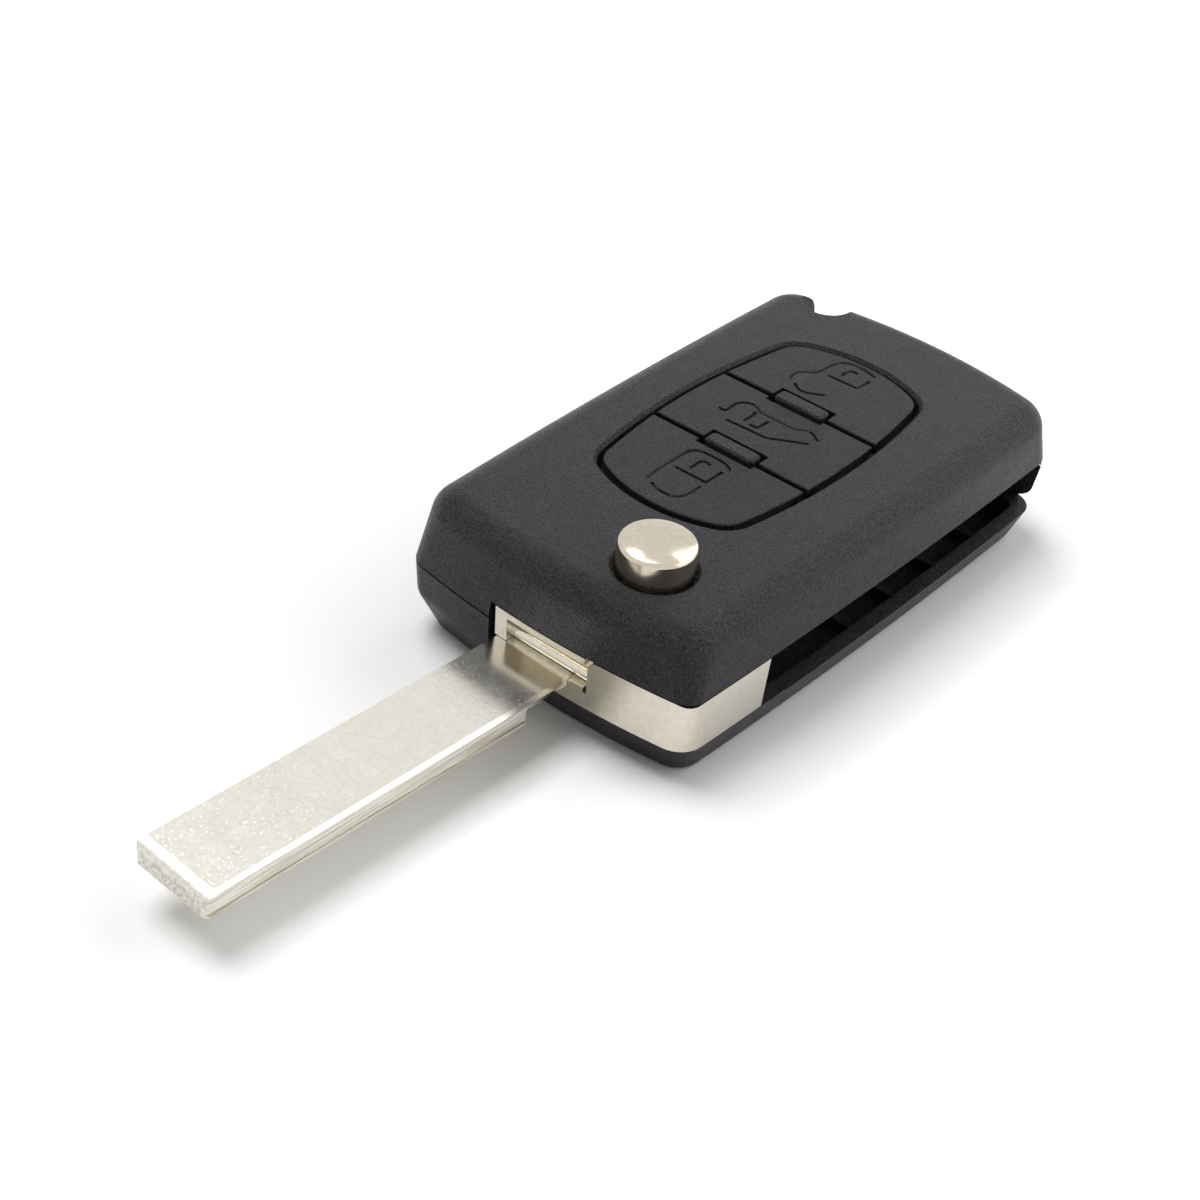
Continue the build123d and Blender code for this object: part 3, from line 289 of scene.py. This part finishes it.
# Moulded plastic: two sizes of spark-eroded grain, and a tone and sheen that vary from grain to grain
moulding = {
    "coarse": (1.5, 0.55),  # detail and roughness of the noise
    "fine": (1.0, 0.5),
    "fineScale": 1.9,
    "fineDepth": 0.7,
    "speckle": (2.0, 0.7),
    "speckleScale": 0.8,
    "sheenSpread": 0.12,
    "sheenTint": (0.94, 0.93, 1.0, 1.0),  # a cool sheen
    "mottle": (500.0, 3.0),
    "smoother": 0.04,
    "rougher": 0.05,
}


def sparkEroded(name, values):
    grain, roughness, specular = values["grain"], values["roughness"], values["specular"]
    material = newFinish(name, values["dark"], roughness)
    surface = material.node_tree.nodes["Principled BSDF"]
    surface.inputs["Specular Tint"].default_value = moulding["sheenTint"]
    coarse = bumpFrom(material, noiseLayer(material, grain, *moulding["coarse"]), 1.0, values["depth"])
    fineNoise = noiseLayer(material, grain * moulding["fineScale"], *moulding["fine"])
    bumpFrom(material, fineNoise, 1.0, values["depth"] * moulding["fineDepth"], coarse)
    speckle = noiseLayer(material, grain * moulding["speckleScale"], *moulding["speckle"])
    tint(material, speckle, values["dark"], values["pale"])
    sheen = moulding["sheenSpread"]
    spread(material, speckle, specular - sheen, specular + sheen, "Specular IOR Level")
    mottle = noiseLayer(material, *moulding["mottle"])
    spread(material, mottle, roughness - moulding["smoother"], roughness + moulding["rougher"], "Roughness")
    return material


# Nickel plate: cloudy roughness, patches of a warmer tone, and small pits that catch the light
plating = {
    "clouds": (420.0, 5.0, 0.65),  # scale, detail and roughness of the noise
    "tones": (1500.0, 4.0, 0.75),
    "waves": (140.0, 2.0),
    "wavesStrength": 0.4,
    "wavesDepth": 2.0,
    "fine": (3400.0, 3.0, 0.7),
    "speckScale": 2500.0,
    "speckDepth": 3.0,
    "speckCore": 0.02,
    "speckRim": 0.24,
}


def platedNickel(name, values):
    roughness, cloud, pitDepth = values["roughness"], values["cloud"], values["pitDepth"]
    material = newFinish(name, values["pale"], roughness, 1.0)
    clouds = noiseLayer(material, *plating["clouds"])
    spread(material, clouds, roughness - cloud, roughness + cloud, "Roughness")
    tint(material, noiseLayer(material, *plating["tones"]), values["dark"], values["pale"])
    waves = noiseLayer(material, *plating["waves"])
    waved = bumpFrom(material, waves, plating["wavesStrength"], pitDepth * plating["wavesDepth"])
    pitted = bumpFrom(material, noiseLayer(material, *plating["fine"]), 1.0, pitDepth, waved)
    cells = material.node_tree.nodes.new("ShaderNodeTexVoronoi")
    cells.inputs["Scale"].default_value = plating["speckScale"]
    material.node_tree.links.new(objectPlace(material), cells.inputs["Vector"])
    specks = remap(material, cells.outputs["Distance"], plating["speckCore"], plating["speckRim"])
    bumpFrom(material, specks, 1.0, pitDepth * plating["speckDepth"], pitted)
    return material


# Blade: plated like the hub, with grinding lines along its upright sides and scratches at its end
blade = {
    "dark": (0.7, 0.675, 0.605),
    "pale": (0.78, 0.755, 0.68),
    "roughness": 0.18,
    "cloud": 0.035,
    "pitDepth": 0.000003,
    "tipPlace": -73.47 * mm,
    "tipReach": 1.0 * mm,
    "fullReach": 0.6,  # the share of the reach from which the scratches have their full depth
    "lines": (5200.0, 2.0, 0.6, (1.0, 0.012, 1.0)),  # scale, detail, roughness and stretch
    "lineDepth": 0.00004,
    "streaks": (2600.0, 3.0, 0.6, (1.0, 0.012, 1.0)),
    "streakStart": 0.42,
    "streakFull": 0.62,
    "streakColour": (0.5, 0.46, 0.39, 1.0),
    "scratches": (3000.0, 4.0, 0.8, (0.35, 1.0, 1.0)),
    "scratchDepth": 0.00006,
}


def bladeNickel(name, values):
    material = platedNickel(name, values)
    tree = material.node_tree
    shader = tree.nodes["Principled BSDF"]
    plated = shader.inputs["Normal"].links[0].from_node
    facing = parts(material, tree.nodes.new("ShaderNodeNewGeometry").outputs["Normal"])
    upright = mathNode(material, "SUBTRACT", 1.0, mathNode(material, "ABSOLUTE", facing["Z"]))
    lines = bumpFrom(material, noiseLayer(material, *values["lines"]), upright, values["lineDepth"], plated)
    streakNoise = noiseLayer(material, *values["streaks"])
    streaks = remap(material, streakNoise, values["streakStart"], values["streakFull"])
    toned = tree.nodes.new("ShaderNodeMix")
    toned.data_type = "RGBA"
    toned.inputs["B"].default_value = values["streakColour"]
    tree.links.new(mathNode(material, "MULTIPLY", streaks, upright), toned.inputs["Factor"])
    tree.links.new(shader.inputs["Base Color"].links[0].from_socket, toned.inputs["A"])
    tree.links.new(toned.outputs["Result"], shader.inputs["Base Color"])
    tip, reach = values["tipPlace"], values["tipReach"]
    nearTip = remap(material, parts(material, objectPlace(material))["Y"], tip + reach,
                    tip + values["fullReach"] * reach)
    bumpFrom(material, noiseLayer(material, *values["scratches"]), nearTip, values["scratchDepth"], lines)
    return material


# Other pieces: one noise that varies the roughness and dents the surface a little
plain = {"noise": (1200.0, 3.0), "smoother": 0.06, "rougher": 0.08, "dentStrength": 0.2, "dentDepth": 0.00001}


def plainFinish(name, colour, roughness, metallic=0.0):
    material = newFinish(name, colour, roughness, metallic)
    layer = noiseLayer(material, *plain["noise"])
    spread(material, layer, roughness - plain["smoother"], roughness + plain["rougher"], "Roughness")
    bumpFrom(material, layer, plain["dentStrength"], plain["dentDepth"])
    return material


casePlastic = {
    "dark": (0.001, 0.001, 0.0025),
    "pale": (0.024, 0.023, 0.0285),
    "grain": 5600.0,
    "depth": 0.0002,
    "roughness": 0.31,
    "specular": 0.28,
}
keyPlastic = {
    "dark": (0.008, 0.0078, 0.0105),
    "pale": (0.016, 0.0156, 0.019),
    "grain": 5600.0,
    "depth": 0.00008,
    "roughness": 0.4,
    "specular": 0.23,
}
hub = {
    "dark": (0.62, 0.57, 0.48),
    "pale": (0.73, 0.69, 0.605),
    "roughness": 0.17,
    "cloud": 0.03,
    "pitDepth": 0.000003,
}
button = {
    "dark": (0.56, 0.505, 0.4),
    "pale": (0.65, 0.595, 0.49),
    "roughness": 0.14,
    "cloud": 0.02,
    "pitDepth": 0.000001,
}
plainLooks = {  # name, colour, roughness and, for metals, 1
    "pin_steel": ("groundPin", (0.55, 0.55, 0.55), 0.35, 1.0),
    "collar_zinc": ("castCollar", (0.45, 0.45, 0.47), 0.5, 1.0),
    "spring_steel": ("springWire", (0.35, 0.34, 0.33), 0.3, 1.0),
    "mat_rubber": ("matRubber", (0.03, 0.03, 0.033), 0.7),
    "board_laminate": ("boardMask", (0.02, 0.16, 0.06), 0.35),
    "switch_body": ("switchBody", (0.03, 0.03, 0.03), 0.5),
    "switch_plunger": ("switchPlunger", (0.6, 0.56, 0.48), 0.45),
    "cell_steel": ("cellCan", (0.68, 0.68, 0.66), 0.28, 1.0),
    "clip_metal": ("tinnedStrip", (0.62, 0.61, 0.57), 0.3, 1.0),
    "chip_epoxy": ("chipEpoxy", (0.02, 0.02, 0.021), 0.55),
    "crystal_can": ("crystalCan", (0.7, 0.7, 0.68), 0.22, 1.0),
    "coil_copper": ("coilWire", (0.55, 0.2, 0.07), 0.3, 1.0),
    "transponder_epoxy": ("transponderEpoxy", (0.025, 0.025, 0.025), 0.45),
    "screw_steel": ("blackScrew", (0.12, 0.12, 0.125), 0.35, 1.0),
}
finishes = {
    "case_plastic": sparkEroded("blackCase", casePlastic),
    "key_plastic": sparkEroded("blackKeys", keyPlastic),
    "hub_nickel": platedNickel("satinHub", hub),
    "blade_nickel": bladeNickel("satinBlade", blade),
    "button_nickel": platedNickel("brightButton", button),
}
for slot, look in plainLooks.items():
    finishes[slot] = plainFinish(*look)
slotOf = {part["node"]: part["material_slot"] for part in frame["record"]["subparts"]}
for nodeName, node in nodes.items():
    node.data.materials.clear()
    node.data.materials.append(finishes[slotOf[nodeName]])
print("finishes set")


# Smooth shading: edges where faces turn by more than the angle stay sharp, and flat faces stay flat
weldReach = 0.002 * mm
sharpAngle = math.radians(28.0)
springSharpAngle = math.radians(40.0)


def keepFlat(piece):
    piece.modifiers.new("flatFaces", "WEIGHTED_NORMAL").keep_sharp = True


# The nodes come as loose triangles, so they are joined first
def smoothNode(node, angle):
    weld = node.modifiers.new("weld", "WELD")
    weld.merge_threshold = weldReach
    node.data.polygons.foreach_set("use_smooth", np.ones(len(node.data.polygons), bool))
    split = node.modifiers.new("sharpEdges", "EDGE_SPLIT")
    split.split_angle = angle
    split.use_edge_sharp = False
    keepFlat(node)


for node in nodes.values():
    smoothNode(node, sharpAngle)
print("nodes shaded")


def meshPiece(name, points, faces):
    mesh = bpy.data.meshes.new(name)
    mesh.from_pydata(points.reshape(-1, 3).tolist(), [], faces)
    piece = bpy.data.objects.new(name, mesh)
    scene.collection.objects.link(piece)
    return piece


def smoothPiece(piece, angle):
    mesh = piece.data
    mesh.polygons.foreach_set("use_smooth", np.ones(len(mesh.polygons), bool))
    mesh.set_sharp_from_angle(angle=angle)


# Pictograms: each is a few engraved strokes, given by points in millimetres in the plane of the keys
pictograms = {
    "width": 0.2,  # half of a stroke's width at the surface
    "footWidth": 0.13,
    "depth": 0.24,
    "rise": 0.05,  # how far the cutter stands above the surface
    "shift": (-0.4, 0.0),
    "rounds": 3,  # times the points are smoothed
    "shortest": 0.02,  # points nearer than this to the one before are dropped
    "step": 0.12,
    "endSteps": 5,
    "endShare": 0.05,
    "unlock_key": {
        "carLeft": [(-2.65, -13.5), (-2.85, -12.4), (-2.9, -10.0), (-2.9, -7.4), (-2.7, -6.3),
                    (-1.9, -5.85), (-0.4, -5.75), (1.0, -5.85), (1.75, -6.25), (2.05, -6.7)],
        "carFront": [(-1.95, -13.65), (-1.1, -14.1), (0.1, -14.25), (1.1, -13.95), (1.65, -13.2),
                     (1.72, -12.2), (1.7, -10.65)],
        "lockBody": [(-2.05, -9.9), (1.35, -9.85), (1.7, -9.83), (1.7, -9.5), (1.7, -7.15)],
        "shackle": [(-0.95, -9.05), (-0.8, -8.4), (-0.97, -7.6), (-0.75, -7.1), (-0.2, -7.05),
                    (0.25, -7.2)],
    },
    "boot_key": {
        "carTop": [(-5.78, 1.9), (-4.95, 1.75), (-4.85, 2.2), (-4.95, 3.1), (-4.89, 4.0), (-4.5, 4.65),
                   (-3.8, 4.95), (-3.05, 4.85), (-2.55, 4.35), (-1.3, 4.3), (0.5, 4.33), (2.1, 4.3),
                   (2.5, 4.85), (3.2, 5.08), (3.85, 4.95), (4.4, 4.4), (4.95, 4.28)],
        "seat": [(-2.72, 4.0), (-2.45, 3.5), (-2.41, 2.76), (-2.54, 1.72)],
        "window": [(-1.8, 1.6), (-1.0, 1.62), (-0.75, 1.65), (-0.72, 1.9), (-0.68, 3.5)],
        "carFoot": [(-3.9, 0.58), (-2.0, 0.7), (-0.4, 0.78), (0.9, 0.85), (1.3, 1.05), (2.3, 1.75),
                    (3.4, 2.45), (4.55, 3.12)],
    },
    "lock_key": {
        "carSide": [(-4.05, 11.75), (-4.45, 12.6), (-4.35, 13.75), (-3.45, 14.5), (-2.9, 15.1),
                    (-2.8, 16.2), (-2.75, 17.7), (-2.3, 18.8), (-1.2, 19.3), (0.25, 19.35), (1.85, 18.9)],
        "carFront": [(-3.3, 11.6), (-2.4, 10.85), (-1.6, 10.8), (-0.65, 11.3), (0.35, 12.0)],
        "lockBody": [(-1.85, 15.5), (1.4, 15.62), (1.75, 15.65), (1.77, 16.0), (1.83, 17.85)],
        "shackle": [(-0.7, 16.45), (-0.88, 17.1), (-0.75, 17.95), (-0.2, 18.15), (0.25, 18.0)],
    },
}


# Corner cutting: each round puts two points between each pair, at one and three quarters of the way
def smoothedPath(points, rounds):
    path = np.array(points, float)
    for _ in range(rounds):
        quarter = 0.75 * path[:-1] + 0.25 * path[1:]
        threeQuarters = 0.25 * path[:-1] + 0.75 * path[1:]
        path = np.vstack([path[:1], np.stack([quarter, threeQuarters], 1).reshape(-1, 2), path[-1:]])
    return path


def runAlong(path):
    return np.concatenate([[0], np.cumsum(np.linalg.norm(np.diff(path, axis=0), axis=1))])


# Cutter of one stroke: a trapezium carried along the path, narrowed to a round at both ends
def strokeCutter(points, top, values):
    path = smoothedPath(points, values["rounds"]) + np.array(values["shift"])
    steps = np.linalg.norm(np.diff(path, axis=0), axis=1)
    path = path[np.concatenate([[True], steps > values["shortest"]])]
    run = runAlong(path)
    rest = values["width"]
    places = np.concatenate([np.linspace(0, rest, values["endSteps"]),
                             np.arange(2 * rest, run[-1] - 1.5 * rest, values["step"]),
                             run[-1] - np.linspace(rest, 0, values["endSteps"])])
    line = np.stack([np.interp(places, run, path[:, 0]), np.interp(places, run, path[:, 1])], 1)
    along = np.gradient(line, axis=0)
    along /= np.linalg.norm(along, axis=1, keepdims=True)
    across = np.stack([-along[:, 1], along[:, 0]], 1)
    fromEnd = np.minimum(places, run[-1] - places) / rest
    roundShare = np.sqrt(np.clip(1 - (1 - np.clip(fromEnd, values["endShare"], 1)) ** 2, 0, 1))[:, None]
    slope = (values["width"] - values["footWidth"]) / values["depth"]
    upper = values["width"] + slope * values["rise"]
    foot = values["footWidth"]
    sides = ((upper, values["rise"]), (-upper, values["rise"]), (-foot, -values["depth"]),
             (foot, -values["depth"]))
    ring = [np.column_stack([line + side * roundShare * across, np.full(len(line), top + height)])
            for side, height in sides]
    return np.stack(ring, 1) * mm


# Faces of a tube: squares between each ring and the next, and a cap on the first and last rings
def tubeFaces(rings, corners, first):
    row = np.arange(rings - 1)[:, None] * corners
    column = np.arange(corners)[None, :]
    turned = (column + 1) % corners
    faces = np.stack([row + column, row + turned, row + corners + turned, row + corners + column], -1) + first
    lastRing = first + corners * (rings - 1)
    caps = [list(range(first + corners - 1, first - 1, -1)), list(range(lastRing, lastRing + corners))]
    return faces.reshape(-1, 4).tolist() + caps


def facesOutward(mesh):
    form = bmesh.new()
    form.from_mesh(mesh)
    bmesh.ops.recalc_face_normals(form, faces=form.faces)
    form.to_mesh(mesh)
    form.free()


def openEdges(mesh):
    form = bmesh.new()
    form.from_mesh(mesh)
    count = sum(not edge.is_manifold for edge in form.edges)
    form.free()
    return count


def strokesCutter(name, top, values, strokes):
    cutters = [strokeCutter(points, top, values) for points in strokes.values()]
    faces, first = [], 0
    for cutter in cutters:
        rings, corners = cutter.shape[:2]
        faces += tubeFaces(rings, corners, first)
        first += rings * corners
    cutterPiece = meshPiece(name, np.concatenate([cutter.reshape(-1, 3) for cutter in cutters]), faces)
    facesOutward(cutterPiece.data)
    return cutterPiece


# A copy of the CAD key with the strokes cut out of its top
def engravedKey(nodeName, values):
    low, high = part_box(nodeName)
    mesh = nodes[nodeName].data.copy()
    form = bmesh.new()
    form.from_mesh(mesh)
    bmesh.ops.remove_doubles(form, verts=form.verts, dist=weldReach)
    form.to_mesh(mesh)
    form.free()
    piece = bpy.data.objects.new(nodeName + "_engraved", mesh)
    scene.collection.objects.link(piece)
    cutter = strokesCutter(nodeName + "_cutter", high[2] / mm, values, values[nodeName])
    cut = piece.modifiers.new("engraving", "BOOLEAN")
    cut.operation, cut.solver, cut.object, cut.use_self = "DIFFERENCE", "EXACT", cutter, True
    graph = bpy.context.evaluated_depsgraph_get()
    graph.update()
    piece.data = bpy.data.meshes.new_from_object(piece.evaluated_get(graph))
    piece.modifiers.clear()
    bpy.data.objects.remove(cutter)
    smoothPiece(piece, sharpAngle)
    keepFlat(piece)
    piece.data.materials.clear()
    piece.data.materials.append(finishes["key_plastic"])
    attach(piece, nodeName.split("_")[0])
    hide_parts(nodeName)
    print(nodeName, "faces", len(piece.data.polygons), "open edges", openEdges(piece.data))


for keyNode in ("unlock_key", "boot_key", "lock_key"):
    engravedKey(keyNode, pictograms)
print("keys engraved")


# Spring under the collar: a round wire on a helix whose end turns lie nearly flat
spring = {
    "centre": (6.45, -23.95, 0.0),
    "coilRadius": 3.9,
    "wireRadius": 0.39,
    "foot": 1.92,
    "head": 7.78,
    "turns": 4.5,
    "flatTurns": 0.75,
    "flatRise": 0.5,  # rise of each flat end, in wire radii
    "turnSteps": 40,
    "wireSteps": 12,
    "kept": 0.642,
    "anchor": (6.45 * mm, -23.95 * mm, 1.5 * mm),
}


def makeSpring(values):
    wireRadius, flat = values["wireRadius"], values["flatTurns"]
    steps = int(values["turns"] * values["turnSteps"]) + 1
    turn = np.linspace(0, values["turns"], steps)
    share = np.clip((turn - flat) / (values["turns"] - 2 * flat), 0, 1)
    startRise = values["flatRise"] * wireRadius * np.clip(turn / flat, 0, 1)
    endRise = values["flatRise"] * wireRadius * np.clip((turn - values["turns"]) / flat + 1, 0, 1)
    height = values["foot"] + startRise + endRise + share * (values["head"] - values["foot"] - wireRadius)
    angle = 2 * np.pi * turn
    outward = np.stack([np.cos(angle), np.sin(angle), np.zeros(steps)], 1)
    centre = np.array(values["centre"]) + values["coilRadius"] * outward
    centre[:, 2] = height
    wire = np.linspace(0, 2 * np.pi, values["wireSteps"], endpoint=False)[None, :, None]
    upward = np.array([0.0, 0.0, 1.0])
    points = centre[:, None] + wireRadius * (np.cos(wire) * outward[:, None] + np.sin(wire) * upward)
    piece = meshPiece("wireSpring", points * mm, tubeFaces(steps, values["wireSteps"], 0))
    facesOutward(piece.data)
    smoothPiece(piece, springSharpAngle)
    piece.data.materials.append(finishes["spring_steel"])
    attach(piece, "blade_unit")
    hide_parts("flip_spring")
    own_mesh(piece)


makeSpring(spring)
print("spring wound")
